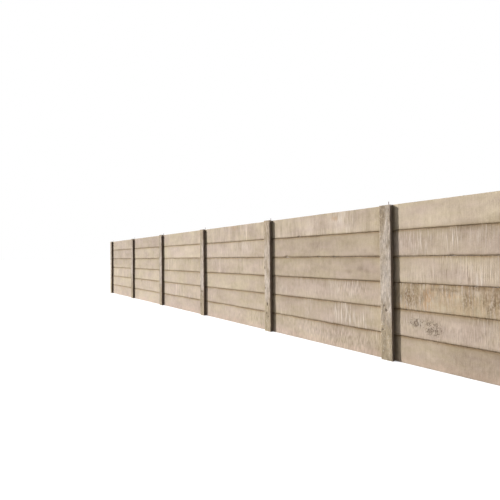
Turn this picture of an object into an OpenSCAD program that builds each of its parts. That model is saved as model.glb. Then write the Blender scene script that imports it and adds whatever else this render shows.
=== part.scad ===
// Precast concrete boundary wall: slotted posts in a row, with plain concrete
// panels lying on edge between them, one on another, each end held in a slot.
// X runs along the wall, the front faces -Y, and Z is up from the ground.
// The origin is at the foot of the middle post.

/* [Run] */
// Whole bays in the run, an even number so that a post stands in the middle
bays = 6; // [2:2:8]
// Panels stacked in each bay
rows = 6; // [1:1:6]

/* [Panels] */
// Length of a panel along the wall
panel_length = 2100; // [1200:10:2600]
// Height of a panel, which is one row of the wall
panel_height = 300; // [150:10:500]
// Thickness of a panel
panel_thick = 50; // [35:1:80]
// Chamfer on the two bottom edges of a panel, which shades the joint
bottom_chamfer = 12; // [2:1:16]
// Chamfer on the two top edges of a panel
top_chamfer = 3; // [1:1:10]

/* [Posts] */
// Width of a post along the wall
post_width = 150; // [110:5:250]
// Depth of a post through the wall
post_depth = 150; // [120:5:250]
// Thickness of the web between a post's two slots
web_thick = 60; // [40:1:90]
// Height of a post's top above the top panel
post_rise = 8; // [1:1:200]
// Chamfer on the upright corners of a post
post_chamfer = 6; // [1:1:15]

/* [Fits] */
// Play of a panel in a slot, through the wall
slot_play = 6; // [2:1:15]
// Gap between the end of a panel and the web
end_gap = 5; // [2:1:15]

/* [Bar ends] */
// Diameter of the reinforcing bar that stands out of a post's top
bar_diameter = 8; // [6:1:16]
// Height of that bar above the post's top
bar_height = 40; // [20:5:150]
// How far the bar stands behind the middle of the post
bar_back = 20; // [0:1:35]

/* [Hidden] */
// One post to the next
bay_pitch = panel_length + 2 * end_gap + web_thick;
middle_post = bays / 2 + 1;
wall_height = rows * panel_height;
post_height = wall_height + post_rise;
slot_width = panel_thick + slot_play;
slot_depth = (post_width - web_thick) / 2;
// A panel bears on the back flange, so all the play is in front of it
panel_y = slot_play / 2;
// Cutters reach this far past the face that they open
cut_over = 1;
bar_facets = 32;

function post_name(post) = str("post_", post);
function panel_name(bay, row) = str("bay_", bay, "_panel_", row);
function post_x(post) = (post - middle_post) * bay_pitch;
function bay_x(bay) = post_x(bay) + bay_pitch / 2;

// Rectangle centred on the origin with its four corners cut at 45 degrees
module chamfered_rectangle(width, depth, chamfer) {
    x_out = width / 2;
    y_out = depth / 2;
    x_in = x_out - chamfer;
    y_in = y_out - chamfer;
    polygon([
        [-x_in, -y_out], [x_in, -y_out],
        [x_out, -y_in], [x_out, y_in],
        [x_in, y_out], [-x_in, y_out],
        [-x_out, y_in], [-x_out, -y_in]
    ]);
}

// Section of a panel: Y through the wall, Z up, with its bottom edges cut more than its top ones
module panel_section() {
    y_out = panel_thick / 2;
    z_out = panel_height / 2;
    y_top = y_out - top_chamfer;
    y_bottom = y_out - bottom_chamfer;
    z_top = z_out - top_chamfer;
    z_bottom = z_out - bottom_chamfer;
    polygon([
        [-y_bottom, -z_out], [y_bottom, -z_out],
        [y_out, -z_bottom], [y_out, z_top],
        [y_top, z_out], [-y_top, z_out],
        [-y_out, z_top], [-y_out, -z_bottom]
    ]);
}

// H-shaped plan of a post: a slot in each side, with the web between them
module post_plan() {
    cut_depth = slot_depth + cut_over;
    difference() {
        chamfered_rectangle(post_width, post_depth, post_chamfer);
        for (side = [-1, 1])
            translate([side * (web_thick + cut_depth) / 2, 0])
                square([cut_depth, slot_width], center = true);
    }
}

module post(post) {
    color("tan")
        translate([post_x(post), 0, 0])
            linear_extrude(height = post_height)
                post_plan();
}

// Panels are alike. Row 1 lies on the ground, and each next one lies on it.
module panel(bay, row) {
    color("wheat")
        translate([bay_x(bay), panel_y, (row - 0.5) * panel_height])
            rotate([90, 0, 90])
                linear_extrude(height = panel_length, center = true)
                    panel_section();
}

module bar_ends() {
    color("saddlebrown")
        for (post = [1:bays + 1])
            translate([post_x(post), bar_back, post_height])
                cylinder(h = bar_height, d = bar_diameter, $fn = bar_facets);
}

for (post = [1:bays + 1]) {
    post(post);
}
for (bay = [1:bays], row = [1:rows]) {
    panel(bay, row);
}
bar_ends();
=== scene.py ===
import math
from types import SimpleNamespace

import bpy
import numpy as np
from mathutils import Matrix, Vector


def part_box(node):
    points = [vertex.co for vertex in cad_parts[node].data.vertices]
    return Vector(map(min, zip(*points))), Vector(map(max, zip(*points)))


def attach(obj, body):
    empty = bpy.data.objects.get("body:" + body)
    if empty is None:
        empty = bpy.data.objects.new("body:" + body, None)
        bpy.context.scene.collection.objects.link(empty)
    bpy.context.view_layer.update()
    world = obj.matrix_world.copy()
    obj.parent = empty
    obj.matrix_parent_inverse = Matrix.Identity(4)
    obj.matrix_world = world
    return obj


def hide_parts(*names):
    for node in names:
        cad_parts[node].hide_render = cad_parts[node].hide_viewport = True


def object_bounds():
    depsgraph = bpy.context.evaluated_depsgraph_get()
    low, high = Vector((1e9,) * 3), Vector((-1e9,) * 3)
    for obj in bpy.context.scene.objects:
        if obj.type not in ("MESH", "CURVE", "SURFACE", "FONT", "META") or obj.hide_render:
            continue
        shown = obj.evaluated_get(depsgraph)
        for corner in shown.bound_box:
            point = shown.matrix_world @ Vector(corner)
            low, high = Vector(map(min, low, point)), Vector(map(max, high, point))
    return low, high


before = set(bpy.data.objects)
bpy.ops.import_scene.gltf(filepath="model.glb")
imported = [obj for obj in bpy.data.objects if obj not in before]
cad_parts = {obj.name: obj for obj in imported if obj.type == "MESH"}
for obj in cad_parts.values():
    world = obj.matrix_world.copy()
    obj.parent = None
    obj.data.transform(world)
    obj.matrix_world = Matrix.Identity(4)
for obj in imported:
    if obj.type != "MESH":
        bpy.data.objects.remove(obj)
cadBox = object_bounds()

postNames = sorted(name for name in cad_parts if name.startswith("post_"))
bayCount = len(postNames) - 1
rowCount = sum(name.startswith("bay_1_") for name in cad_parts)
print(f"frame: {len(postNames)} posts, {bayCount} bays of {rowCount} panels")


# Low and high corners of a post. Posts and bays are counted from the left, and rows from the ground.
def postBox(post):
    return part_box(f"post_{post}")


def panelBox(bay, row):
    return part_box(f"bay_{bay}_panel_{row}")


# A dictionary's values by name: look.bevel for look["bevel"]
def named(look):
    return SimpleNamespace(**look)


# Object with that mesh, camera or lamp, put in the scene
def addObject(name, data):
    made = bpy.data.objects.new(name, data)
    bpy.context.scene.collection.objects.link(made)
    return made


cameraLook = {
    "lens": 26.52,  # mm
    "sensor": 36,  # mm wide
    "height": 1.209,  # above the ground
    "fromWall": 3.871,  # in front of the panels
    "pastPost": 2.426,  # beyond the right edge of the last post but one
    "turn": 53.34,  # degrees to the left of square on
    "tilt": 1.11,  # degrees up from level
    "roll": -0.58,  # degrees about the line of sight
    "farthest": 1000,
}


# Camera axes: turned about Z, then tilted up from level about X, then rolled about the line of sight
def makeCamera(look):
    data = bpy.data.cameras.new("camera")
    data.sensor_width = look.sensor
    data.lens = look.lens
    data.clip_end = look.farthest
    camera = addObject("camera", data)
    turn = Matrix.Rotation(math.radians(look.turn), 4, "Z")
    tilt = Matrix.Rotation(math.radians(90 + look.tilt), 4, "X")
    roll = Matrix.Rotation(math.radians(look.roll), 4, "Z")
    place = Vector((
        postBox(bayCount)[1].x + look.pastPost,
        panelBox(bayCount, 1)[0].y - look.fromWall,
        look.height,
    ))
    camera.matrix_world = Matrix.Translation(place) @ turn @ tilt @ roll
    bpy.context.scene.camera = camera


makeCamera(named(cameraLook))
print("camera set")


noiseLook = {
    "seed": 41,
    "cells": 256,  # along each side of the grid of random heights, which then repeats
    "seedShift": (31.7, 17.3),  # cells from one seed's stretch of noise to the next one's
    "layerShift": 7,  # seeds from one layer to the next
    "layerShare": 0.55,  # height of each layer to that of the one before
}
randomHeights = np.random.default_rng(noiseLook["seed"]).uniform(-1, 1, (noiseLook["cells"],) * 2)


# Smooth step: 3t^2 - 2t^3, with t held between 0 and 1
def ease(t):
    t = np.clip(t, 0, 1)
    return t * t * (3 - 2 * t)


# Smooth noise from -1 to 1: random heights on a grid of cells, blended across each cell with ease
def cellNoise(x, y, cellX, cellY, seed):
    shiftX, shiftY = noiseLook["seedShift"]
    gx = np.asarray(x) / cellX + shiftX * seed
    gy = np.asarray(y) / cellY + shiftY * seed
    i, j = np.floor(gx).astype(int), np.floor(gy).astype(int)
    u, v = ease(gx - i), ease(gy - j)
    cells = noiseLook["cells"]
    left, right = i % cells, (i + 1) % cells
    near, far = j % cells, (j + 1) % cells
    low = randomHeights[left, near] * (1 - u) + randomHeights[right, near] * u
    high = randomHeights[left, far] * (1 - u) + randomHeights[right, far] * u
    return low * (1 - v) + high * v


# Noise in layers, each in cells half as wide as the one before: sum of share * noise / sum of share
def layeredNoise(x, y, cellX, cellY, seed, layers=2):
    total, share, weight = 0.0, 1.0, 0.0
    for layer in range(layers):
        layerSeed = seed + noiseLook["layerShift"] * layer
        total = total + share * cellNoise(x, y, cellX / 2**layer, cellY / 2**layer, layerSeed)
        weight += share
        share *= noiseLook["layerShare"]
    return total / weight


# Chips along an edge: ease((noise - threshold) / (1 - threshold))
def chipField(x, y, cell, threshold, seed):
    return ease((layeredNoise(x, y, cell, cell, seed) - threshold) / (1 - threshold))


# Closed outline with worn corners, anticlockwise: each run between two corners in equal steps, and each
# corner an arc, centre + radius * outward normal, as the normal turns from run to run. Returns the points,
# their outward normals, and how near each is to a corner that stands out.
def wornOutline(corners, radii, steps, reach, arcPoints=3):
    corners = np.asarray(corners, float)
    count = len(corners)
    ahead = np.roll(corners, -1, axis=0) - corners
    lengths = np.linalg.norm(ahead, axis=1)
    ahead /= lengths[:, None]
    behind = np.roll(ahead, 1, axis=0)
    turn = np.arctan2(
        behind[:, 0] * ahead[:, 1] - behind[:, 1] * ahead[:, 0],
        (behind * ahead).sum(1),
    )
    radii = np.asarray(radii, float)
    cut = radii * np.tan(np.abs(turn) / 2)
    parts = []
    for c in range(count):
        startNormal = np.array([behind[c, 1], -behind[c, 0]])
        angles = turn[c] * np.linspace(0, 1, arcPoints + 1)
        cosine, sine = np.cos(angles), np.sin(angles)
        arcNormals = np.stack([
            startNormal[0] * cosine - startNormal[1] * sine,
            startNormal[0] * sine + startNormal[1] * cosine,
        ], 1)
        side = np.sign(turn[c])
        centre = corners[c] - behind[c] * cut[c] - side * radii[c] * startNormal
        parts.append((centre + side * radii[c] * arcNormals, arcNormals, np.full(len(angles), side > 0)))
        nextCorner = (c + 1) % count
        runStart = corners[c] + ahead[c] * cut[c]
        runLength = lengths[c] - cut[c] - cut[nextCorner]
        stepCount = max(1, round(runLength / steps[c]))
        inside = np.arange(1, stepCount)[:, None] / stepCount * runLength
        runNormals = np.tile([ahead[c, 1], -ahead[c, 0]], (len(inside), 1))
        parts.append((runStart + ahead[c] * inside, runNormals, np.full(len(inside), False)))
    points, normals, peaks = (np.concatenate(part) for part in zip(*parts))
    gaps = np.linalg.norm(points[:, None] - points[None, peaks], axis=2)
    return points, normals, np.exp(-((gaps.min(1) / reach) ** 2))


endSpacing = np.array([0, 0.08, 0.3, 0.65, 1.0])  # shares of a worn end's length


# Places along a run: even steps, and closer ones where each end is worn round
def stationsAlong(low, high, step, endWear):
    near = endWear * endSpacing
    parts = max(1, round((high - low - 2 * endWear) / step))
    middle = np.linspace(low + endWear, high - endWear, parts + 1)[1:-1]
    return np.concatenate([low + near, middle, high - near[::-1]])


# Wear of an end: radius - sqrt(radius^2 - (radius - distance)^2), and 0 past the radius
def roundedEnd(distance, radius):
    left = np.clip(radius - distance, 0, radius)
    return radius - np.sqrt(radius**2 - left**2)


# Closed tubes in one mesh, each through a grid of points (station, place round): a smooth quad from each
# place to the next place and the next station, and a flat cap at each end. Where there is one tube, a
# field has one number or three for each of its points, or for each station or place round. Edges
# between faces at more than sharpAngle degrees are drawn sharp.
def tubeMesh(name, grids, fields, sharpAngle=50):
    faces, smooth, start = [], [], 0
    for grid in grids:
        here = start + np.arange(grid[..., 0].size).reshape(grid.shape[:2])
        beside = np.roll(here, -1, axis=1)
        quads = np.stack([here[:-1], beside[:-1], beside[1:], here[1:]], axis=-1).reshape(-1, 4)
        faces += quads.tolist() + [here[0][::-1].tolist(), here[-1].tolist()]
        smooth += [True] * len(quads) + [False] * 2
        start += here.size
    mesh = bpy.data.meshes.new(name)
    mesh.from_pydata(np.concatenate([grid.reshape(-1, 3) for grid in grids]), [], faces)
    mesh.polygons.foreach_set("use_smooth", smooth)
    mesh.set_sharp_from_angle(angle=math.radians(sharpAngle))
    shape = grids[0].shape
    for field, values in fields.items():
        isVector = values.ndim == 3
        values = np.broadcast_to(values, shape if isVector else shape[:2]).astype(np.float32)
        attribute = mesh.attributes.new(field, "FLOAT_VECTOR" if isVector else "FLOAT", "POINT")
        attribute.data.foreach_set("vector" if isVector else "value", values.ravel())
    mesh.update()
    return mesh


# A face with n corners makes n - 2 triangles
def triangleCount(piece):
    return len(piece.data.loops) - 2 * len(piece.data.polygons)


castSpread = 50  # a piece's pattern is moved by up to this, so that no two are alike


# Depth of a cast surface = relief * face + arris * (wear + chips), and with it the wear and the chips
def castDepth(across, up, arris, face, chipped, look, seed):
    relief = 0.5 + 0.5 * layeredNoise(across, up, *look.cells["relief"], seed, 3)
    wear = 0.5 + 0.5 * layeredNoise(across, up, *look.cells["wear"], seed + 1)
    chips = np.maximum(chipField(across, up, *look.chipNoise, seed + 2), chipped)
    edge = arris * (look.arrisWear * wear + look.chipDepth * chips)
    return look.relief * relief * face + edge, wear, chips


# Field of a kind of mark: the strongest of strength * exp(-(distance / half size) ^ power)
def markField(kind, marks, along, up, power=3):
    field = np.zeros(np.broadcast(along, up).shape)
    for markKind, *place, strength in marks:
        if markKind == kind:
            middle, height, halfLength, halfHeight = [part / 100 for part in place]
            distance = ((along - middle) / halfLength) ** 2 + ((up - height) / halfHeight) ** 2
            field = np.maximum(field, strength * np.exp(-(distance ** (power / 2))))
    return field


# Puts a mesh in the scene in place of a node of the frame
def addPiece(mesh, material, replaced):
    piece = addObject(mesh.name, mesh)
    mesh.materials.append(material)
    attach(piece, "root")
    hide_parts(replaced)
    return piece


# A shader's colour from a screen's, which runs from 0 to 255: (c / 255) ^ 2.2
def tint(red, green, blue):
    return tuple((part / 255) ** 2.2 for part in (red, green, blue))


usualNoise = (0.3, 0.7)  # most of a noise pattern lies between these


# Recipe of a material or a world: each call adds nodes, and gives back the output that the next call uses
class Recipe:
    def __init__(self, owner):
        owner.use_nodes = True
        self.owner = owner
        self.tree = owner.node_tree

    def node(self, kind, inputs, output=0, **settings):
        made = self.tree.nodes.new("ShaderNode" + kind)
        for key, value in settings.items():
            setattr(made, key, value)
        for key, value in inputs.items():
            self.feed(made.inputs[key], value)
        return made.outputs[output]

    def feed(self, socket, value):
        if isinstance(value, bpy.types.NodeSocket):
            self.tree.links.new(value, socket)
        elif socket.type == "RGBA":
            socket.default_value = (*value, 1.0)
        else:
            socket.default_value = value

    # feeds the last node, which every new tree has, and gives back the material or the world
    def finish(self, lastNode, **inputs):
        for name, value in inputs.items():
            self.feed(self.tree.nodes[lastNode].inputs[name.replace("_", " ")], value)
        return self.owner

    def field(self, name, output="Fac"):
        return self.node("Attribute", {}, output, attribute_name=name)

    # one output for each named field
    def fields(self, *names):
        return named({name: self.field(name) for name in names})

    def math(self, operation, *values):
        return self.node("Math", dict(enumerate(values)), operation=operation)

    def sum(self, a, b):
        return self.math("ADD", a, b)

    def times(self, a, b):
        return self.math("MULTIPLY", a, b)

    # a * b + c
    def scaled(self, a, b, c):
        return self.math("MULTIPLY_ADD", a, b, c)

    # value carried from low..high to bottom..top, and held there
    def between(self, value, low, high, bottom=0.0, top=1.0, smooth=False):
        kind = "SMOOTHSTEP" if smooth else "LINEAR"
        limits = {0: value, 1: low, 2: high, 3: bottom, 4: top}
        return self.node("MapRange", limits, interpolation_type=kind)

    # noise carried from its usual range to -half..half
    def spread(self, noise, half=0.5):
        return self.between(noise, *usualNoise, -half, half)

    # colour * (1 - share) + paint * share, for each pair of a share and a paint in turn
    def painted(self, colour, *layers):
        for share, paint in layers:
            colour = self.node("Mix", {0: share, 6: colour, 7: paint}, 2, data_type="RGBA")
        return colour

    # pair for painted: where the paint lies times how much it covers, and its colour, maybe shaded
    def layer(self, where, paint, shade=None):
        colour, cover = paint
        return self.times(where, cover), colour if shade is None else self.tinted(colour, shade)

    # light ^ 0.9 for red, light for green, light ^ 1.13 for blue, as damp and dirt darken concrete warmly
    def warmShade(self, light):
        red, blue = self.math("POWER", light, 0.9), self.math("POWER", light, 1.13)
        return self.node("CombineXYZ", {0: red, 1: light, 2: blue}, "Vector")

    # colour * shade, where the shade is a number or a colour itself
    def tinted(self, colour, shade):
        return self.node("VectorMath", {0: colour, 1: shade}, operation="MULTIPLY")

    # place / size + shift, along X, Y and Z
    def moved(self, place, size, shift):
        scale = tuple(1 / part for part in size)
        return self.node("Mapping", {"Vector": place, "Location": (shift, shift, shift), "Scale": scale})

    # noise from 0 to 1 whose grains have that size
    def grains(self, place, size, detail, roughness, shift):
        moved = self.moved(place, size, shift)
        inputs = {"Vector": moved, "Scale": 1.0, "Detail": detail, "Roughness": roughness}
        return self.node("TexNoise", inputs, "Fac")

    # one output for each named pattern of grains
    def patterns(self, place, table):
        return named({name: self.grains(place, *values) for name, values in table.items()})

    # distance to the nearest of scattered points, which lie about size apart
    def dots(self, place, size, shift):
        moved = self.moved(place, size, shift)
        return self.node("TexVoronoi", {"Vector": moved, "Scale": 1.0}, "Distance")

    # 1 + tone + each named pattern, from -0.5 to 0.5, times its own depth
    def lightness(self, tone, pattern, look):
        light = self.scaled(tone, look.toneDepth, 1.0)
        for name, depth in look.patternDepths.items():
            light = self.scaled(self.spread(getattr(pattern, name)), depth, light)
        return light

    # round holes: scattered points, each as wide as the noise makes it there
    def blowholes(self, place, pattern, look):
        size = self.between(pattern.blowSpread, *look.blowWidth)
        return self.math("LESS_THAN", self.dots(place, *look.blowholes), size)

    # 0 over a ragged line at height, and 1 from low down
    def nearFoot(self, noise, height, low, ragged):
        up = self.node("SeparateXYZ", {0: self.node("TexCoord", {}, "Object")}, "Z")
        return self.between(self.sum(up, self.scaled(noise, -ragged, ragged / 2)), height, low, smooth=True)

    # bumps laid over one another: the named heights, each as deep as the look says
    def bumps(self, heights, look):
        below = {}
        for name, depth in look.bumps.items():
            normal = self.node("Bump", {"Height": heights[name], "Distance": depth, **below}, "Normal")
            below = {"Normal": normal}
        return normal

    # concrete in that colour, with bumps, and rougher where its coarse pattern and its grain stand out
    def concrete(self, colour, coarse, pattern, look, **heights):
        heights = {**vars(pattern), **heights}
        rough = self.between(self.scaled(pattern.grain, look.grainRough, coarse), *look.roughness)
        normal = self.bumps(heights, look)
        return self.finish("Principled BSDF", Base_Color=colour, Roughness=rough, Normal=normal)

    # 1 where a surface is seen, also in a mirror or through glass, and 0 for the light that it sends
    def seenRay(self):
        path = self.tree.nodes.new("ShaderNodeLightPath").outputs
        seen = self.math("MAXIMUM", path["Is Camera Ray"], path["Is Glossy Ray"])
        return self.math("MAXIMUM", seen, path["Is Transmission Ray"])


panelConcreteLook = {
    "pinkGrey": tint(194, 174, 157),
    "oliveGrey": tint(194, 177, 149),
    # Paints laid over the concrete, and how much each covers
    # the joints' brown: dirt and painted shade along them
    "jointBrown": (tint(172, 147, 112), 0.55),
    "limeWhite": (tint(226, 212, 197), 0.85),
    "ochreStain": (tint(192, 154, 116), 0.95),
    "brownStain": (tint(124, 98, 66), 1.0),
    "sand": (tint(206, 180, 163), 0.55),
    "freshBreak": (tint(206, 192, 172), 0.6),
    # painted shade over the pitted patches and in the gouges, and in the holes
    "gouge": (tint(94, 76, 56), 0.35),
    "darkHole": (tint(94, 76, 56), 0.6),
    # How much each pattern lightens or darkens the concrete
    "toneDepth": 0.13,
    "patternDepths": {"blotch": 0.24, "mottle": 0.2, "grain": 0.14},
    "scratchDepth": 0.6,
    "lineDepth": 0.4,
    "bandDepth": 0.28,
    # darkening of the joints: dirt and painted shade
    "grimeDepth": 0.2,
    # Grains: size along X, Y and Z, detail, roughness, and a shift that sets each apart
    "patterns": {
        "blotch": ((0.4, 0.4, 0.2), 4.0, 0.6, 0.0),
        "hueBlotch": ((0.44, 0.4, 0.16), 3.0, 0.6, 7.3),
        "mottle": ((0.045, 0.07, 0.075), 5.0, 0.65, 3.1),
        "grain": ((0.004, 0.004, 0.004), 3.0, 0.7, 0.0),
        "stroke": ((0.009, 0.05, 0.2), 1.0, 0.5, 1.7),
        "strokeBreaks": ((0.07, 0.1, 0.24), 2.0, 0.5, 13.3),
        "line": ((0.008, 0.05, 0.2), 0.0, 0.5, 11.9),
        "lineBreaks": ((0.14, 0.1, 0.13), 2.0, 0.5, 15.1),
        "crack": ((0.015, 0.05, 0.3), 1.0, 0.5, 23.1),
        "scratch": ((0.01, 0.05, 0.075), 1.0, 0.5, 17.7),
        "band": ((0.085, 0.1, 0.6), 3.0, 0.5, 5.9),
        "drips": ((0.028, 0.05, 0.11), 5.0, 0.7, 2.9),
        "speckle": ((0.011, 0.03, 0.022), 3.0, 0.7, 19.3),
        "splash": ((0.1, 0.1, 0.1), 4.0, 0.6, 4.4),
        "gougeSpread": ((0.05, 0.05, 0.06), 1.0, 0.5, 6.6),
        "blowSpread": ((0.12, 0.12, 0.12), 1.0, 0.5, 9.2),
    },
    "gouges": ((0.011, 0.014, 0.022), 9.1),  # how far apart holes lie along X, Y and Z, and a shift
    "blowholes": ((0.055, 0.055, 0.055), 8.8),
    # Where a pattern starts to show, where it shows in full, and how much there, if not from 0 to 1
    "strokeEdge": (0.44, 0.68),
    "strokeBreakEdge": (0.34, 0.54),
    "lineEdge": (0.4, 0.26),
    "lineBreakEdge": (0.4, 0.54),
    "crackEdge": (0.48, 0.38),
    "bandEdge": (0.36, 0.64, -0.5, 0.5),
    "ochreEdge": (0.4, 0.6),
    "brownDripEdge": (0.62, 0.42, 0.5, 1.0),
    "brownSpeckleEdge": (0.6, 0.44, 0.4, 1.0),
    "breakEdge": (0.25, 0.8),
    "gougeEdge": (0.05, -0.05),
    "gougeWidth": (0.3, 0.7, 0.35, 0.65),  # half of it, as a share of how far apart they lie
    "blowWidth": (0.45, 0.75, 0.0, 0.085),
    "grimeCloud": (0.3, 0.7, 0.4, 1.4),
    "hueSpread": 0.45,  # how far the blotches turn pink to olive
    "splash": (0.14, 0.0, 0.16),  # of sand: up to this height, whole from this, and how ragged
    "grainRough": 0.4,
    "roughness": (0.4, 1.0, 0.8, 0.97),
    # How high strokes and lines stand: times their field, and everywhere
    "strokeRidge": (0.9, 0.12),
    "lineRidge": (0.9, 0.05),
    "bumps": {"ridge": 0.0035, "mottle": 0.0035, "grain": 0.0014, "hole": 0.004},
}


# Lightness = 1 + tone + blotches + mottle + grain + scratches - lines - cracks + bands - the joints' dirt
# and painted shade
def panelLightness(r, field, pattern, look):
    broken = r.between(pattern.lineBreaks, *look.lineBreakEdge)
    line = r.times(r.between(pattern.line, *look.lineEdge, smooth=True), broken)
    crack = r.times(r.between(pattern.crack, *look.crackEdge, smooth=True), field.cracks)
    band = r.times(r.between(pattern.band, *look.bandEdge), field.bands)
    grime = r.times(field.grime, r.between(pattern.mottle, *look.grimeCloud))
    light = r.lightness(field.tone, pattern, look)
    light = r.scaled(r.times(r.spread(pattern.scratch), field.scratches), look.scratchDepth, light)
    light = r.scaled(r.scaled(line, field.lines, crack), -look.lineDepth, light)
    light = r.scaled(band, look.bandDepth, light)
    return r.scaled(grime, -look.grimeDepth, light)


# Half width of each gouge, and where there are holes: gouges in pitted concrete, and blowholes all over
def panelHoles(r, place, field, pattern, look):
    gougeSize = r.times(field.pits, r.between(pattern.gougeSpread, *look.gougeWidth))
    gouges = r.between(r.scaled(gougeSize, -1.0, r.dots(place, *look.gouges)), *look.gougeEdge)
    return gougeSize, r.math("MAXIMUM", gouges, r.blowholes(place, pattern, look))


# Colour = (pink grey to olive grey) * lightness, with the joints' dirt and painted shade, pale strokes,
# ochre and brown stains, splashed sand, broken arrises, and painted shade over pits and in holes laid over
# it in turn
def panelConcrete(look):
    r = Recipe(bpy.data.materials.new("panelConcrete"))
    place = r.field("castPlace", "Vector")
    field = r.fields(
        "tone", "warmth", "streaks", "lines", "cracks", "bands", "scratches",
        "brown", "ochre", "pits", "grime", "bare",
    )
    pattern = r.patterns(place, look.patterns)
    shade = r.warmShade(panelLightness(r, field, pattern, look))
    gougeSize, holes = panelHoles(r, place, field, pattern, look)

    hue = r.sum(r.scaled(field.warmth, 0.5, 0.5), r.spread(pattern.hueBlotch, look.hueSpread))
    stroke = r.between(pattern.stroke, *look.strokeEdge, smooth=True)
    stroke = r.times(stroke, r.between(pattern.strokeBreaks, *look.strokeBreakEdge))
    drips = r.between(pattern.drips, *look.brownDripEdge)
    brown = r.times(drips, r.between(pattern.speckle, *look.brownSpeckleEdge))

    concrete = r.painted(look.pinkGrey, (r.between(hue, 0.0, 1.0), look.oliveGrey))
    ochre = r.between(pattern.drips, *look.ochreEdge, smooth=True)
    colour = r.painted(
        r.tinted(concrete, shade),
        # dirt and painted shade along the joints
        r.layer(field.grime, look.jointBrown, shade),
        r.layer(r.times(stroke, field.streaks), look.limeWhite),
        r.layer(r.times(ochre, field.ochre), look.ochreStain, shade),
        r.layer(r.times(brown, field.brown), look.brownStain, shade),
        r.layer(r.nearFoot(pattern.splash, *look.splash), look.sand, shade),
        r.layer(r.between(field.bare, *look.breakEdge), look.freshBreak),
        # painted shade over the pitted patches and in the gouges and holes
        r.layer(gougeSize, look.gouge),
        r.layer(holes, look.darkHole),
    )
    ridge = r.times(pattern.stroke, r.scaled(field.streaks, *look.strokeRidge))
    ridge = r.sum(ridge, r.times(pattern.line, r.scaled(field.lines, *look.lineRidge)))
    return r.concrete(colour, pattern.mottle, pattern, look, ridge=ridge, hole=r.times(holes, -1.0))


# Laid out as the look of the panels' concrete is
postConcreteLook = {
    "dunBrown": tint(168, 149, 125),
    "paleGrey": tint(200, 186, 172),
    "olive": (tint(174, 156, 128), 0.8),
    "pebble": (tint(214, 204, 190), 0.6),
    "freshBreak": (tint(214, 204, 190), 0.5),
    "formedSkin": (tint(150, 137, 126), 0.85),  # painted shade: a darker colour on the sides, deepening the shade that they stand in
    "skinShade": (0.5, 0.45),  # its lightness: times the concrete's, and everywhere
    # painted shade in the holes
    "darkHole": (tint(84, 70, 56), 0.85),
    "toneDepth": 0.1,
    "patternDepths": {"clot": 0.46, "lump": 0.3, "grain": 0.16},
    "patterns": {
        "cloud": ((0.12, 0.12, 0.3), 4.0, 0.6, 0.0),
        "clot": ((0.012, 0.012, 0.06), 4.0, 0.65, 3.7),
        "lump": ((0.032, 0.032, 0.12), 3.0, 0.6, 6.6),
        "grain": ((0.004, 0.004, 0.004), 3.0, 0.7, 0.0),
        "blowSpread": ((0.1, 0.1, 0.16), 1.0, 0.5, 9.2),
    },
    "pebbles": ((0.02, 0.02, 0.03), 2.2),
    "blowholes": ((0.04, 0.04, 0.06), 8.8),
    "pebbleEdge": (0.38, 0.24),
    "pebbleClotEdge": (0.45, 0.6),
    "breakEdge": (0.25, 0.8),
    "blowWidth": (0.45, 0.75, 0.0, 0.14),
    "cloudSpread": 0.45,
    "lumpSpread": 0.35,
    "foot": (0.5, 0.35, 0.7),  # of olive: up to this height, whole from this, and how ragged
    "grainRough": 0.4,
    "roughness": (0.4, 1.0, 0.84, 0.98),
    "bumps": {"lump": 0.008, "clot": 0.006, "grain": 0.0016, "hole": 0.005},
}


# Colour = (dun brown to pale grey by clouds and lumps, olive at the foot) * lightness, with pebbles,
# broken arrises, painted shade on the sides and painted shade in the holes laid over it in turn.
# Lightness = 1 + tone + clots + lumps + grain.
def postConcrete(look):
    r = Recipe(bpy.data.materials.new("postConcrete"))
    place = r.field("castPlace", "Vector")
    field = r.fields("tone", "pale", "pits", "formed", "bare")
    pattern = r.patterns(place, look.patterns)

    share = r.sum(r.spread(pattern.cloud, look.cloudSpread), r.spread(pattern.lump, look.lumpSpread))
    share = r.between(r.sum(share, field.pale), 0.0, 1.0)
    light = r.lightness(field.tone, pattern, look)
    pebble = r.between(r.dots(place, *look.pebbles), *look.pebbleEdge, smooth=True)
    pebble = r.times(pebble, r.between(pattern.clot, *look.pebbleClotEdge))
    blowholes = r.blowholes(place, pattern, look)
    foot = r.layer(r.nearFoot(pattern.lump, *look.foot), look.olive)
    colour = r.painted(
        r.tinted(r.painted(look.dunBrown, (share, look.paleGrey), foot), light),
        r.layer(pebble, look.pebble),
        r.layer(r.between(field.bare, *look.breakEdge), look.freshBreak),
        # painted shade on the sides
        r.layer(field.formed, look.formedSkin, r.scaled(light, *look.skinShade)),
        # painted shade in the holes
        r.layer(r.math("MAXIMUM", blowholes, field.pits), look.darkHole),
    )
    return r.concrete(colour, pattern.lump, pattern, look, hole=r.times(blowholes, -1.0))


barSteelLook = {
    "darkRust": tint(58, 40, 32),
    "orangeRust": tint(122, 74, 46),
    "patterns": {
        "patch": ((0.006, 0.006, 0.012), 4.0, 0.65, 0.0),
        "grain": ((0.0012, 0.0012, 0.0012), 2.0, 0.6, 0.0),
    },
    "rustEdge": (0.42, 0.68),
    "grainShade": (0.5, 0.75),  # lightness: times the grain, and everywhere
    "metal": 0.35,
    "roughness": (0.62, 0.88),
    "bumps": {"rust": 0.0006},
}


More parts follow.
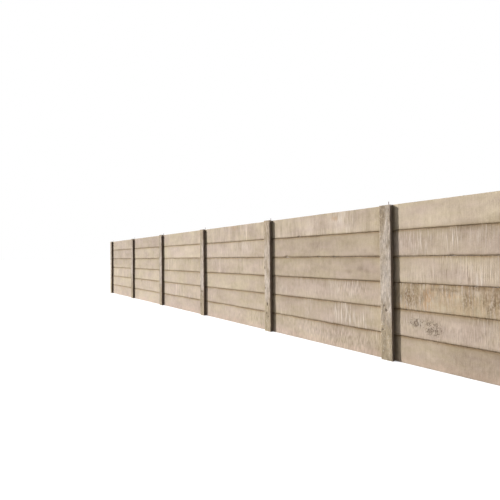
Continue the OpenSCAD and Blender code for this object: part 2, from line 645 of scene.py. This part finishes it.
# Colour = (dark rust to orange rust by patches a few millimetres across) * grain
def barSteel(look):
    r = Recipe(bpy.data.materials.new("barSteel"))
    pattern = r.patterns(r.node("TexCoord", {}, "Object"), look.patterns)
    colour = r.painted(look.darkRust, (r.between(pattern.patch, *look.rustEdge), look.orangeRust))
    return r.finish(
        "Principled BSDF",
        Base_Color=r.tinted(colour, r.scaled(pattern.grain, *look.grainShade)),
        Roughness=r.between(pattern.patch, *usualNoise, *look.roughness),
        Metallic=look.metal,
        Normal=r.bumps({"rust": r.sum(pattern.patch, pattern.grain)}, look),
    )


panelMaterial = panelConcrete(named(panelConcreteLook))
postMaterial = postConcrete(named(postConcreteLook))
barMaterial = barSteel(named(barSteelLook))
print("materials made")


panelLook = {
    "seed": 2024,
    "alongStep": 0.013,
    "frontStep": 0.0105,
    "backStep": 0.024,
    "bevelStep": 0.006,
    "edgeStep": 0.015,  # across the top and the bottom
    "bevel": 0.011,  # cut along the bottom edges
    "footBevel": 0.003,  # the same for the lowest row, which meets the ground
    "bevelRadius": 0.006,
    "topRadius": 0.003,
    "endRadius": 0.003,
    "arrisReach": 0.009,
    "relief": 0.0012,  # unevenness of the cast faces
    "jointWave": 0.0022,  # how far a joint strays from level
    "arrisWear": 0.0022,
    "chipDepth": 0.011,
    "chipNoise": (0.07, 0.52),  # width of its cells, and how high it is where chips start
    "hollowDepth": 0.0022,  # of the honeycombed patches
    "brownRough": 0.8,  # how honeycombed brown stains are, next to pits
    "forwardPlay": 0.003,  # how far a panel may lean out in its slot
    "leanShare": 0.4,  # the most of that play between its foot and its top
    # Widths of the noise's cells along the wall and up it
    "cells": {
        "wave": (0.42, 1.0), "relief": (0.16, 0.11), "wear": (0.05, 0.05), "hollows": (0.036, 0.036),
        "clusters": (0.34, 0.3), "cloud": (0.7, 0.4), "warmth": (0.8, 0.5), "grime": (0.22, 0.3),
    },
    "backShift": 40.0,  # from the front's noise to the back's
    "drawnTone": 0.15,  # how far a panel may stray from its finish
    "drawnWarmth": 0.2,
    "cloudTone": 0.5,
    "cloudWarmth": 0.6,
    "awayTone": 0.36,  # painted sheen: how much paler each of the next two bays is, past the nearest two, as the low light glances off them
    "topFade": 0.28,  # how much darker a panel is at its top, and paler at its foot
    "endWarmth": 0.8,  # olive stain towards the posts and the joints
    "endReach": (0.12, 0.035),  # of that stain, from a post and from a joint
    "jointShare": 0.8,  # how strong it is at a joint, where a post's is 1
    "middleShare": -0.3,  # added to it everywhere
    "contrast": {"hollows": 1.4, "clusters": 1.6},  # how sharply each stands out of its noise
    # Share of each that is left between clusters
    "sparse": {"streaks": 0.15, "lines": 0.25, "bands": 0.4, "scratches": 0.2},
    "roughStreaks": 0.6,  # painted highlights: how strong the pale strokes are in honeycombed patches, for the lit sides of their hollows
    "chipBare": 1.4,  # how bare a chip leaves the arris
    # Dark lines of dirt and painted shade along a joint, under it and over it: strength and width of each
    "underJoint": [(1.15, 0.018), (0.35, 0.048)],
    "overJoint": [(0.85, 0.018), (-0.5, 0.008)],
    "grimeUneven": 0.4,
}

# How each finish looks. Tone runs from -1 for dark to 1 for pale, warmth from -1 for pink to 1 for olive,
# and the rest from 0 to 1.
finishColumns = ("tone", "warmth", "streaks", "lines", "bands", "scratches")
panelFinishes = {
    "smooth": (0.45, 0.3, 0.1, 0.1, 0.25, 0.1),
    "dull": (-0.95, -0.1, 0.1, 0.1, 0.25, 0.1),
    "earthy": (-0.95, 0.4, 0.1, 0.1, 0.25, 0.15),
    "worn": (-0.65, 0.1, 0.45, 0.5, 0.6, 0.25),
    "streaked": (-0.8, -0.3, 0.35, 0.35, 0.2, 0.25),
    "lined": (-0.25, -0.15, 0.4, 0.5, 0.3, 0.25),
    "banded": (-0.2, 0.15, 0.35, 0.35, 1.0, 0.2),
    "plain": (-0.1, 0.2, 0.15, 0.25, 0.3, 0.15),
    "striated": (-0.2, -0.3, 0.3, 0.3, 0.2, 0.5),
    "scored": (-0.35, -0.45, 0.35, 0.35, 0.35, 0.3),
    "stained": (-0.2, 0.6, 0.6, 0.3, 0.4, 0.5),
}
# Finishes of a bay's panels from the ground up, where they are chosen. The others are drawn at random.
bayFinishes = {
    6: ["dull", "scored", "stained", "lined", "streaked", "smooth"],
    5: ["striated", "worn", "streaked", "earthy", "dull", "banded"],
    4: ["lined", "plain", "plain", "banded", "lined", "banded"],
    3: ["striated", "banded", "plain", "worn", "smooth", "worn"],
    2: ["smooth", "plain", "plain", "earthy", "worn", "dull"],
    1: ["plain", "smooth", "banded", "dull", "streaked", "worn"],
}
# Dark patches only darken the tone where they lie, some of them at a panel's end beside a post
markKinds = ("pale", "darkPatch", "strokes", "scratches", "cracks", "brown", "ochre", "pits", "chip")
# Marks on a panel: kind, then in centimetres its distance from the left end, height up the panel, half
# length and half height, and last its strength
panelMarks = {
    (6, 1): [
        ("pale", 46, 14, 7, 6, 0.9), ("pale", 20, 20, 10, 5, 0.5), ("darkPatch", 110, 15, 40, 20, 0.6),
    ],
    (6, 2): [
        ("pits", 31, 17, 11, 5.5, 1.0), ("pits", 44, 18, 15, 4.5, 0.8), ("pits", 50, 11, 10, 7, 1.1),
        ("pits", 94, 11, 1.5, 1.2, 1.0), ("darkPatch", 95, 3, 25, 2.5, 0.5),
        ("scratches", 45, 15, 35, 12, 0.4), ("darkPatch", 100, 14, 35, 14, 0.5),
        ("pale", 69, 13, 4, 12, 0.7), ("pale", 108, 14, 2.5, 11, 1.2), ("pale", 117, 12, 4, 11, 1.0),
        ("darkPatch", 95, 26, 42, 5, 1.3),
    ],
    (6, 3): [
        ("brown", 25, 17, 16, 14, 0.95), ("ochre", 14, 4, 12, 5, 0.6), ("ochre", 43, 15, 9, 15, 0.85),
        ("brown", 42, 23, 5, 4, 0.7), ("brown", 62, 20, 9, 5, 0.6), ("brown", 60, 25, 20, 2.5, 0.85),
        ("ochre", 68, 21, 14, 5, 0.8), ("brown", 84, 15, 8, 13, 0.85), ("brown", 105, 16, 12, 14, 0.95),
        ("brown", 128, 24, 14, 5, 0.8), ("ochre", 135, 17, 16, 8, 0.7), ("brown", 98, 28, 24, 3, 0.8),
        ("brown", 162, 17, 16, 12, 0.8), ("ochre", 100, 14, 120, 25, 0.3), ("pale", 68, 18, 14, 4, 1.3),
        ("pale", 10, 5, 10, 4, 0.8),
    ],
    (6, 4): [
        ("cracks", 40, 13, 2, 13, 0.9), ("cracks", 62, 17, 3.5, 12, 1.0),
        ("cracks", 85, 10, 2, 11, 0.9), ("strokes", 95, 10, 14, 10, 0.45), ("pale", 86, 12, 10, 8, 0.5),
        ("darkPatch", 55, 2, 40, 2, 0.5),
    ],
    (6, 5): [
        ("strokes", 38, 16, 24, 13, 0.8), ("strokes", 70, 16, 7, 13, 0.9),
        ("strokes", 98, 15, 14, 12, 0.5), ("darkPatch", 30, 4, 15, 3, 0.4),
        ("darkPatch", 86, 27, 12, 2.5, 0.8),
    ],
    (6, 6): [
        ("darkPatch", 92, 3, 22, 3.5, 1.3), ("darkPatch", 15, 3, 15, 3, 0.7), ("cracks", 77, 20, 2, 12, 0.6),
        ("pale", 50, 15, 20, 10, 0.4), ("pale", 78, 22, 16, 7, 0.5), ("darkPatch", 114, 5, 16, 6, 1.9),
    ],
    (5, 1): [
        ("scratches", 140, 13, 75, 14, 0.8), ("darkPatch", 175, 16, 20, 12, 0.5),
        ("darkPatch", 198, 13, 16, 12, 1.3),
    ],
    (5, 2): [
        ("strokes", 85, 15, 10, 14, 0.8), ("strokes", 130, 15, 12, 14, 0.8),
        ("strokes", 153, 15, 12, 14, 1.0), ("strokes", 180, 15, 6, 14, 0.8),
        ("darkPatch", 114, 22, 38, 8, 0.9), ("darkPatch", 162, 9, 30, 6, 0.8), ("pale", 20, 12, 14, 10, 1.0),
    ],
    (5, 3): [
        ("strokes", 142, 18, 28, 11, 1.0), ("scratches", 160, 18, 28, 11, 0.8),
        ("pale", 110, 10, 60, 10, 0.9), ("strokes", 30, 10, 12, 10, 0.6),
    ],
    (5, 4): [
        ("darkPatch", 155, 11, 7, 2.5, 1.3), ("darkPatch", 175, 15, 5, 3.5, 1.6),
        ("darkPatch", 186, 12, 5, 2.5, 1.5), ("darkPatch", 86, 17, 14, 12, 0.6), ("pale", 55, 15, 12, 5, 0.5),
    ],
    (5, 5): [
        ("darkPatch", 98, 18, 8, 7, 0.9), ("chip", 39, 0, 3, 5, 1.0), ("darkPatch", 150, 20, 26, 7, 0.6),
        ("pale", 182, 16, 10, 7, 0.3), ("darkPatch", 203, 16, 6, 13, 1.6),
    ],
    (5, 6): [
        ("pale", 78, 13, 18, 20, 1.1), ("pale", 145, 13, 17, 20, 1.3),
        ("strokes", 145, 15, 18, 20, 0.9), ("cracks", 92, 15, 2, 14, 0.9),
        ("ochre", 135, 22, 5, 3.5, 0.7), ("pale", 101, 13, 7, 20, 0.5), ("darkPatch", 32, 11, 18, 10, 1.0),
        ("darkPatch", 168, 22, 14, 8, 0.5),
    ],
    (4, 1): [
        ("scratches", 150, 15, 50, 12, 0.6), ("pale", 105, 15, 130, 30, 0.4),
        ("pale", 42, 15, 26, 16, 1.1), ("darkPatch", 200, 14, 13, 14, 1.5), ("pale", 150, 15, 22, 14, 0.7),
    ],
    (4, 3): [("darkPatch", 198, 18, 24, 16, 1.2), ("pale", 90, 15, 30, 10, 0.2)],
    (4, 4): [("pale", 155, 17, 14, 8, 0.6), ("darkPatch", 180, 8, 12, 6, 0.8)],
    (4, 5): [
        ("strokes", 58, 15, 5, 13, 1.0), ("strokes", 140, 16, 30, 12, 0.8),
        ("darkPatch", 185, 17, 28, 12, 0.8), ("darkPatch", 130, 18, 12, 11, 0.8),
        ("pale", 67, 14, 1.8, 12, 1.6), ("pale", 104, 15, 8, 12, 0.5),
    ],
    (4, 6): [
        ("strokes", 146, 13, 4, 14, 1.2), ("ochre", 112, 25, 12, 4, 0.6), ("pale", 188, 15, 6, 14, 0.5),
        ("darkPatch", 168, 13, 24, 14, 1.4), ("darkPatch", 120, 10, 18, 10, 0.6),
        ("pale", 150, 13, 1.8, 13, 3.2), ("pale", 195, 15, 3, 13, 1.6), ("pale", 37, 15, 3, 14, 0.9),
        ("pale", 73, 15, 5, 14, 0.9),
    ],
    (3, 1): [("pale", 112, 15, 62, 20, 0.8), ("darkPatch", 200, 10, 12, 10, 1.2)],
    (3, 2): [("pale", 170, 14, 22, 14, 0.8), ("darkPatch", 90, 15, 50, 10, 0.3)],
    (3, 4): [("darkPatch", 188, 14, 20, 15, 1.1), ("pale", 105, 7, 20, 5, 0.6)],
    (3, 5): [("pale", 105, 15, 70, 25, 0.6), ("darkPatch", 188, 12, 22, 15, 0.7)],
    (3, 6): [("darkPatch", 172, 15, 22, 16, 1.1), ("pale", 200, 15, 10, 14, 0.4)],
    (2, 6): [("darkPatch", 105, 15, 120, 30, 0.9), ("pale", 50, 12, 10, 10, 0.6)],
    (1, 6): [("darkPatch", 120, 15, 90, 30, 0.9)],
    (1, 5): [("darkPatch", 90, 15, 110, 30, 0.7)],
    (1, 4): [("darkPatch", 120, 18, 90, 20, 0.6), ("ochre", 60, 10, 14, 5, 0.4)],
}


# Marks for a panel that has none chosen: up to three dark patches, pale patches, worn spots or stains
def drawnMarks(length, rng):
    marks = []
    for draw in range(rng.integers(0, 4)):
        kind = str(rng.choice(["darkPatch", "darkPatch", "pale", "strokes", "scratches", "brown", "ochre"]))
        marks.append((
            kind, rng.uniform(10, 90) * length, rng.uniform(2, 28),
            rng.uniform(6, 30), rng.uniform(2, 9), rng.uniform(0.25, 0.7),
        ))
    return marks


# Height of the joint over a row: the wave, the same for the panels above and below it, and 0 at the foot
def jointWave(bay, row, x, look):
    height = look.jointWave if row > 0 else 0.0
    return height * layeredNoise(x, 0.0, *look.cells["wave"], 3 + 5 * bay + row, 3)


# Section of a panel, worn round, from its front's top down to the foot and up its back
def panelSection(low, high, bevel, look):
    corners = [
        (low.y, high.z), (low.y, low.z + bevel), (low.y + bevel, low.z),
        (high.y - bevel, low.z), (high.y, low.z + bevel), (high.y, high.z),
    ]
    bevelRadius = min(look.bevelRadius, bevel / 2)
    radii = [look.topRadius] + [bevelRadius] * 4 + [look.topRadius]
    bevelStep, edgeStep = look.bevelStep, look.edgeStep
    steps = [look.frontStep, bevelStep, edgeStep, bevelStep, look.backStep, edgeStep]
    return wornOutline(corners, radii, steps, look.arrisReach, 2)


# Where a panel's points lie, in each way that its wear and its stains follow
def panelPlaces(bay, row, look):
    low, high = panelBox(bay, row)
    bevel = look.bevel if row > 1 else look.footBevel
    outline, normals, arris = panelSection(low, high, bevel, look)
    x = stationsAlong(low.x, high.x, look.alongStep, look.endRadius)[:, None]
    y, z = outline[None, :, 0], outline[None, :, 1]
    normalY, normalZ = normals[None, :, 0], normals[None, :, 1]
    isBack = normalY > 0.5
    return SimpleNamespace(
        bay=bay, row=row, seed=11 + 13 * bay + 3 * row, length=high.x - low.x, height=high.z - low.z,
        x=x, y=y, z=z, normalY=normalY, normalZ=normalZ, arris=arris[None],
        along=x - low.x, up=z - low.z, fromEnd=np.minimum(x - low.x, high.x - x),
        isBack=isBack, isFace=np.abs(normalY) > 0.9, noiseX=x - low.x + look.backShift * isBack,
    )


# Patches from 0 to 1 where noise is high: ease(0.5 + contrast * noise)
def patches(kind, at, seed, look):
    return ease(0.5 + look.contrast[kind] * layeredNoise(at.noiseX, at.up, *look.cells[kind], seed))


# Surface of a panel: the section carried along X, less depth * normal, then lifted by the joint waves.
# Depth = relief + hollows + arris wear + chips + rounded ends.
def panelSurface(at, rng, look):
    depth, _, chips = castDepth(at.noiseX, at.up, at.arris, at.isFace, at.marks["chip"], look, at.seed)
    hollows = patches("hollows", at, at.seed + 9, look)
    depth += look.hollowDepth * hollows * at.rough + roundedEnd(at.fromEnd, look.endRadius)

    play = look.forwardPlay
    outward = rng.uniform(0, play)
    lean = rng.uniform(-look.leanShare, look.leanShare) * play
    forward = np.clip(outward + lean * (at.up / at.height - 0.5), 0, play)
    y, z = at.y - at.normalY * depth - forward, at.z - at.normalZ * depth
    grid = np.stack([np.broadcast_to(at.x, depth.shape), y, z], axis=-1)
    lower = jointWave(at.bay, at.row - 1, at.x, look)
    upper = jointWave(at.bay, at.row, at.x, look)
    grid[..., 2] += lower + (upper - lower) * at.up / at.height
    return grid, chips


# Sum of strength * exp(-(distance / width) ^ 2) over pairs of strength and width
def softLines(distance, pairs):
    return sum(strength * np.exp(-((distance / width) ** 2)) for strength, width in pairs)


# How the joints' dirt and painted shade lie: softLines under the one above and over the one below, made
# uneven
def jointGrime(at, look):
    under = softLines(at.height - at.up, look.underJoint) * (at.row < rowCount)
    over = softLines(at.up, look.overJoint) * (at.row > 1)
    uneven = layeredNoise(at.noiseX, at.up, *look.cells["grime"], at.seed + 8)
    return (under + over) * (1 + look.grimeUneven * uneven)


# Tone = finish + the far bays' painted sheen + a draw + cloud + fade to the top, and warmth = finish + a
# draw + cloud + ends.
# The finish's strokes come in clusters, and each mark adds to the field that it belongs to.
def panelFields(at, grid, chips, finish, rng, look):
    cells, marks = look.cells, at.marks
    cloud = layeredNoise(at.noiseX, at.up, *cells["cloud"], at.seed + 4)
    warmCloud = layeredNoise(at.noiseX, at.up, *cells["warmth"], at.seed + 6)
    clusters = patches("clusters", at, at.seed + 5, look)
    postReach, jointReach = look.endReach
    fromJoint = np.minimum(at.up, at.height - at.up)
    ends = np.exp(-((at.fromEnd / postReach) ** 2)) + look.jointShare * np.exp(-fromJoint / jointReach)
    stain = look.cloudWarmth * warmCloud + look.endWarmth * (ends + look.middleShare)
    # painted sheen of the far bays
    farSheen = look.awayTone * np.clip(bayCount - 1 - at.bay, 0, 2)
    fade = look.topFade * (1 - 2 * at.up / at.height)
    tone = finish["tone"] + farSheen + rng.uniform(-look.drawnTone, look.drawnTone)
    tone = tone + look.cloudTone * (1 + farSheen) * cloud + fade

    # the finish's strength in a cluster, and a share of it between two
    def clustered(kind):
        least = look.sparse[kind]
        return finish[kind] * (least + (1 - least) * clusters)

    return {
        "castPlace": grid + rng.uniform(-castSpread, castSpread, 3),
        "tone": tone + marks["pale"] - marks["darkPatch"],
        "warmth": finish["warmth"] + rng.uniform(-look.drawnWarmth, look.drawnWarmth) + stain,
        # pale strokes, and painted highlights in the honeycombed patches
        "streaks": clustered("streaks") + marks["strokes"] + look.roughStreaks * at.rough,
        "lines": clustered("lines")[::-1],  # end for end, so that they don't lie among the strokes
        "bands": clustered("bands"),
        "scratches": clustered("scratches") + marks["scratches"],
        # dirt and painted shade along the joints
        "grime": jointGrime(at, look),
        "bare": np.clip(look.chipBare * chips * at.arris, 0, 1),
        **{kind: marks[kind] for kind in ("cracks", "brown", "ochre", "pits")},
    }


# One panel: its finish and its marks are chosen or drawn first, and its surface and fields follow them
def makePanel(bay, row, look):
    rng = np.random.default_rng([look.seed, bay, row])
    at = panelPlaces(bay, row, look)
    chosen = bayFinishes.get(bay)
    finish = panelFinishes[chosen[row - 1] if chosen else str(rng.choice(list(panelFinishes)))]
    backMarks = drawnMarks(at.length, rng)
    frontMarks = panelMarks.get((bay, row)) or drawnMarks(at.length, rng)
    at.marks = {}
    for kind in markKinds:
        back, front = [markField(kind, marks, at.along, at.up) for marks in (backMarks, frontMarks)]
        at.marks[kind] = np.where(at.isBack, back, front)
    at.rough = np.clip(at.marks["pits"] + look.brownRough * at.marks["brown"], 0, 1)
    grid, chips = panelSurface(at, rng, look)
    fields = panelFields(at, grid, chips, dict(zip(finishColumns, finish)), rng, look)
    mesh = tubeMesh(f"bay_{bay}_panel_{row}_cast", [grid], fields)
    return addPiece(mesh, panelMaterial, f"bay_{bay}_panel_{row}")


panelTriangles = 0
for bay in range(1, bayCount + 1):
    for row in range(1, rowCount + 1):
        panelTriangles += triangleCount(makePanel(bay, row, named(panelLook)))
    print(f"bay {bay} cast")
print(f"panels: {panelTriangles} triangles")


postLook = {
    "seed": 77,
    "upStep": 0.0105,
    "frontStep": 0.009,
    "backStep": 0.0144,
    "sideStep": 0.011,
    "slotStep": 0.025,
    "cornerRadius": 0.006,
    "lipRadius": 0.003,
    "rootRadius": 0.003,
    "topRadius": 0.006,
    "endGap": 0.005,  # between a panel's end and the web
    "arrisReach": 0.01,
    "relief": 0.0022,
    "formedRelief": 0.35,  # the share of relief on the sides that lay against the mould
    "arrisWear": 0.0035,
    "chipDepth": 0.012,
    "chipNoise": (0.08, 0.5),
    "holeDepth": 0.008,
    "holeDark": 1.3,
    "wearBare": (0.1, 0.4),  # how bare the arrises are: everywhere, and times their wear
    "cells": {"relief": (0.055, 0.09), "wear": (0.04, 0.045), "cloud": (0.2, 0.35)},  # round and up
    "wrapStep": 0.008,  # from a point of the outline to the next, as the noise takes it
    "postShift": 5.0,  # from one post's noise to the next one's
    "slotMargin": 0.004,  # the slot stays smooth to this far past its walls,
    "sideMargin": 0.001,  # but not what is this near to the post's side
    "formedReach": 0.004,  # how far the painted shade on the sides fades out from a corner
    "drawnTone": 0.3,  # how far a post may stray from its tone
    "toneShares": (0.4, 0.4),  # cloud, and from left to right
    "paleShares": (0.12, 0.25, 0.2, 0.5),  # everywhere, cloud, from left to right, and half way up
    "paleMiddle": (1.0, 0.55),  # height of the palest part, and half its length
}
# Marks on a post's front, listed in the same way: honeycombed holes, and darker patches
postMarks = {
    6: [
        ("hole", 8, 57.5, 1.1, 1.5, 1.0), ("hole", 5.5, 63, 0.5, 1.2, 1.0), ("hole", 3, 35, 1, 1, 1.0),
        ("darkPatch", 7, 172, 5, 10, 1.6), ("darkPatch", 3, 17, 6, 16, 1.2),
        ("darkPatch", 11.5, 98, 4.5, 15, 0.9),
    ],
    5: [
        ("hole", 7.5, 44, 1.4, 3, 1.0), ("hole", 1.6, 103, 1, 2, 1.0), ("hole", 5.5, 29, 1.1, 1.4, 1.0),
        ("hole", 1.8, 70, 1, 1.8, 1.0), ("hole", 9.8, 24, 1, 1.3, 1.0), ("darkPatch", 4, 20, 6, 16, 1.3),
    ],
    4: [
        ("hole", 8, 50, 2, 2.2, 1.0), ("hole", 3, 22, 1, 5, 1.0), ("hole", 2.2, 60, 0.8, 4, 1.0),
        ("darkPatch", 4, 42, 6, 34, 1.6),
    ],
    # a darker line down the left edge of its front
    3: [("darkPatch", 1, 90, 1.6, 140, 2.6)],
}
# How far a post's top is set under its full height, as they weren't planted quite alike
topDrops = {1: 0.003, 2: 0.004, 4: 0.005, 6: 0.008, 7: 0.002}
# How much paler or darker a post is than most
postTones = {3: -0.2, 4: 0.2, 5: 1.0, 6: -0.5}


# Plan of a post, worn round: half of the H, from its front round the right slot to its back, and then
# the same half turned round
def postPlan(centre, halfX, halfY, slotHalf, webHalf, look):
    half = [
        (halfX, -halfY), (halfX, -slotHalf), (webHalf, -slotHalf),
        (webHalf, slotHalf), (halfX, slotHalf), (halfX, halfY),
    ]
    corners = np.array(half + [(-px, -py) for px, py in half])
    corners[:, 0] += centre
    corner, lip, root = look.cornerRadius, look.lipRadius, look.rootRadius
    side, slot = look.sideStep, look.slotStep
    faces = [side, slot, slot, slot, side]
    steps = faces + [look.backStep] + faces + [look.frontStep]
    return wornOutline(corners, [corner, lip, root, root, lip, corner] * 2, steps, look.arrisReach)


# Where a post's points lie, in each way that its wear and its shades follow
def postPlaces(post, look):
    low, high = postBox(post)
    centre, halfX, halfY = (low.x + high.x) / 2, (high.x - low.x) / 2, high.y
    slotHalf = panelBox(1, 1)[1].y  # the panels bear on the back of the slot
    neighbour = panelBox(min(post, bayCount), 1)
    webHalf = min(abs(end.x - centre) for end in neighbour) - look.endGap
    outline, normals, arris = postPlan(centre, halfX, halfY, slotHalf, webHalf, look)
    top = high.z - topDrops.get(post, 0.0)
    z = stationsAlong(low.z, top, look.upStep, look.topRadius)[:, None]
    x, y = outline[None, :, 0], outline[None, :, 1]
    isOuter = (np.abs(y) > slotHalf + look.slotMargin) | (np.abs(x - centre) > halfX - look.sideMargin)
    return SimpleNamespace(
        seed=101 + 17 * post, x=x, y=y, z=z, normalX=normals[None, :, 0], normalY=normals[None, :, 1],
        arris=arris[None], along=x - low.x, across=np.clip((x - centre) / halfX, -1, 1),
        fromTop=top - z, fromFaces=halfY - np.abs(y), isOuter=isOuter,
        isFront=normals[None, :, 1] < -0.5, isFormed=np.abs(normals[None, :, 0]) > 0.9,
        wrap=np.arange(len(outline))[None] * look.wrapStep + look.postShift * post,
    )


# Tone = the post's own + a draw + cloud + from left to right - dark patches, and paleness grows half way up
def postFields(post, at, grid, wear, chips, holes, rng, look):
    cloud = layeredNoise(at.wrap, at.z, *look.cells["cloud"], at.seed + 4)
    darkPatches = markField("darkPatch", postMarks.get(post, []), at.along, at.z) * at.isFront
    cloudTone, acrossTone = look.toneShares
    shade = cloudTone * cloud + acrossTone * at.across - darkPatches
    paleHeight, paleReach = look.paleMiddle
    middle = np.exp(-(((at.z - paleHeight) / paleReach) ** 4))
    pale, cloudPale, acrossPale, middlePale = look.paleShares
    leastBare, wearBare = look.wearBare
    return {
        "castPlace": grid + rng.uniform(-castSpread, castSpread, 3),
        "tone": postTones.get(post, 0.0) + rng.uniform(-look.drawnTone, look.drawnTone) + shade,
        "pale": pale + middlePale * middle + cloudPale * cloud + acrossPale * at.across,
        # where the holes get painted shade
        "pits": np.clip(look.holeDark * holes, 0, 1),
        # painted shade on the side faces, fading out at their corners with the front and the back
        "formed": at.isFormed * (1 - np.exp(-((at.fromFaces / look.formedReach) ** 2))),
        "bare": np.clip(at.arris * (leastBare + wearBare * wear + chips), 0, 1) * at.isOuter,
    }


# Post surface: the plan carried up Z, less depth * normal.
# Depth = relief + arris wear + chips + holes + the rounding of the top.
def makePost(post, look, rng):
    at = postPlaces(post, look)
    face = np.where(at.isFormed, look.formedRelief, 1.0) * at.isOuter
    depth, wear, chips = castDepth(at.wrap, at.z, at.arris, face, 0.0, look, at.seed)
    holes = markField("hole", postMarks.get(post, []), at.along, at.z, 4) * at.isFront
    depth += look.holeDepth * holes + roundedEnd(at.fromTop, look.topRadius)
    up = np.broadcast_to(at.z, depth.shape)
    grid = np.stack([at.x - at.normalX * depth, at.y - at.normalY * depth, up], axis=-1)
    fields = postFields(post, at, grid, wear, chips, holes, rng, look)
    mesh = tubeMesh(f"post_{post}_cast", [grid], fields)
    return addPiece(mesh, postMaterial, f"post_{post}")


postRandom = np.random.default_rng(postLook["seed"])
postTriangles = 0
for post in range(1, bayCount + 2):
    postTriangles += triangleCount(makePost(post, named(postLook), postRandom))
print(f"posts: {postTriangles} triangles")


barLook = {
    "seed": 5,
    "ringPoints": 20,
    "step": 0.0012,
    "ribPitch": 0.0055,
    "ribHeight": 0.0005,
    "ribWidth": 2.2,  # the larger, the wider and squarer the ribs
    "ribStarts": 2,  # ribs that wind round the bar side by side
    "lean": 0.0035,  # how far the top of a bar may stand off plumb
    "topRadius": 0.0008,
    "sunk": 0.012,  # the length that is cast into the worn top of a post
}


# Ribbed bar: radius = core + rib height where the ribs wind, and its middle leans out with height squared
def barGrid(centreX, centreY, bottom, top, radius, look, rng):
    angle = np.linspace(0, 2 * math.pi, look.ringPoints, endpoint=False)[None]
    z = stationsAlong(bottom, top, look.step, look.topRadius)[:, None]
    winding = 2 * math.pi * (z - bottom) / look.ribPitch + look.ribStarts * angle
    rib = ease(look.ribWidth * np.cos(winding) - 1.0)
    reach = radius - look.ribHeight * (1 - rib) - roundedEnd(top - z, look.topRadius)
    share = ((z - bottom) / (top - bottom)) ** 2
    lean = rng.uniform(-1, 1) * look.lean * share
    x, y = centreX + lean + reach * np.cos(angle), centreY + reach * np.sin(angle)
    return np.stack([x, y, np.broadcast_to(z, reach.shape)], axis=-1)


# All the bars in one mesh, each from inside its post's worn top up to its own end
def makeBars(look):
    rng = np.random.default_rng(look.seed)
    low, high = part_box("bar_ends")
    grids = []
    for post in range(1, bayCount + 2):
        postLow, postHigh = postBox(post)
        bottom = low.z - look.sunk - topDrops.get(post, 0.0)
        middle = ((postLow.x + postHigh.x) / 2, (low.y + high.y) / 2)
        grids.append(barGrid(*middle, bottom, high.z, (high.y - low.y) / 2, look, rng))
    mesh = tubeMesh("bar_ends_ribbed", grids, {}, sharpAngle=180)
    return addPiece(mesh, barMaterial, "bar_ends")


makeBars(named(barLook))
print("bar ends made")


stageLook = {
    "floorHalf": 400.0,
    "floorDrop": 0.001,  # under the wall's foot
    "floorGrey": 0.08,  # its colour for the light that it throws on the wall
    "floorWhite": 0.62,  # its colour and its glow where it is seen
    "floorGlow": 0.55,
    "skyLight": 0.068,
}
# Lamps: direction from the wall towards the lamp, strength, and its width in degrees
lampLook = {
    "keyLamp": ((-0.7686, -0.4803, 0.4226), 4.3, 2.5),
    "fillLamp": ((-0.77, -0.54, 0.34), 1.8, 64.0),
    "backLamp": ((0.5, 0.78, 0.38), 3.3, 20.0),
}


# Floor = white + glow where it is seen, and plain grey for the light that it throws on the wall
def floorPaint(look):
    r = Recipe(bpy.data.materials.new("floorWhite"))
    r.tree.nodes.remove(r.tree.nodes["Principled BSDF"])
    plain = r.node("BsdfDiffuse", {"Color": (look.floorGrey,) * 3})
    white = r.node("BsdfDiffuse", {"Color": (look.floorWhite,) * 3})
    bright = r.node("AddShader", {0: white, 1: r.node("Emission", {"Strength": look.floorGlow})})
    return r.finish("Material Output", Surface=r.node("MixShader", {0: r.seenRay(), 1: plain, 2: bright}))


# Square floor round the origin, just under the wall's foot
def makeFloor(look):
    half = look.floorHalf
    level = cadBox[0].z - look.floorDrop
    corners = [(-half, -half, level), (half, -half, level), (half, half, level), (-half, half, level)]
    mesh = bpy.data.meshes.new("floor")
    mesh.from_pydata(corners, [], [(0, 1, 2, 3)])
    mesh.materials.append(floorPaint(look))
    addObject("floor", mesh)


# World: white at strength 1 where it is seen, and the sky's light on everything else
def makeWorld(look):
    r = Recipe(bpy.data.worlds.new("backdrop"))
    strength = r.between(r.seenRay(), 0.0, 1.0, look.skyLight, 1.0)
    bpy.context.scene.world = r.finish("Background", Color=(1, 1, 1), Strength=strength)


# Sun lamp: its Z axis points along the direction, so that it shines the other way
def makeSun(name, direction, strength, width):
    data = bpy.data.lights.new(name, "SUN")
    data.energy = strength
    data.angle = math.radians(width)
    lamp = addObject(name, data)
    lamp.rotation_mode = "QUATERNION"
    lamp.rotation_quaternion = Vector(direction).to_track_quat("Z", "Y")


makeFloor(named(stageLook))
makeWorld(named(stageLook))
for lampName, lampValues in lampLook.items():
    makeSun(lampName, *lampValues)
bpy.context.scene.view_settings.view_transform = "Standard"
print("stage lit")
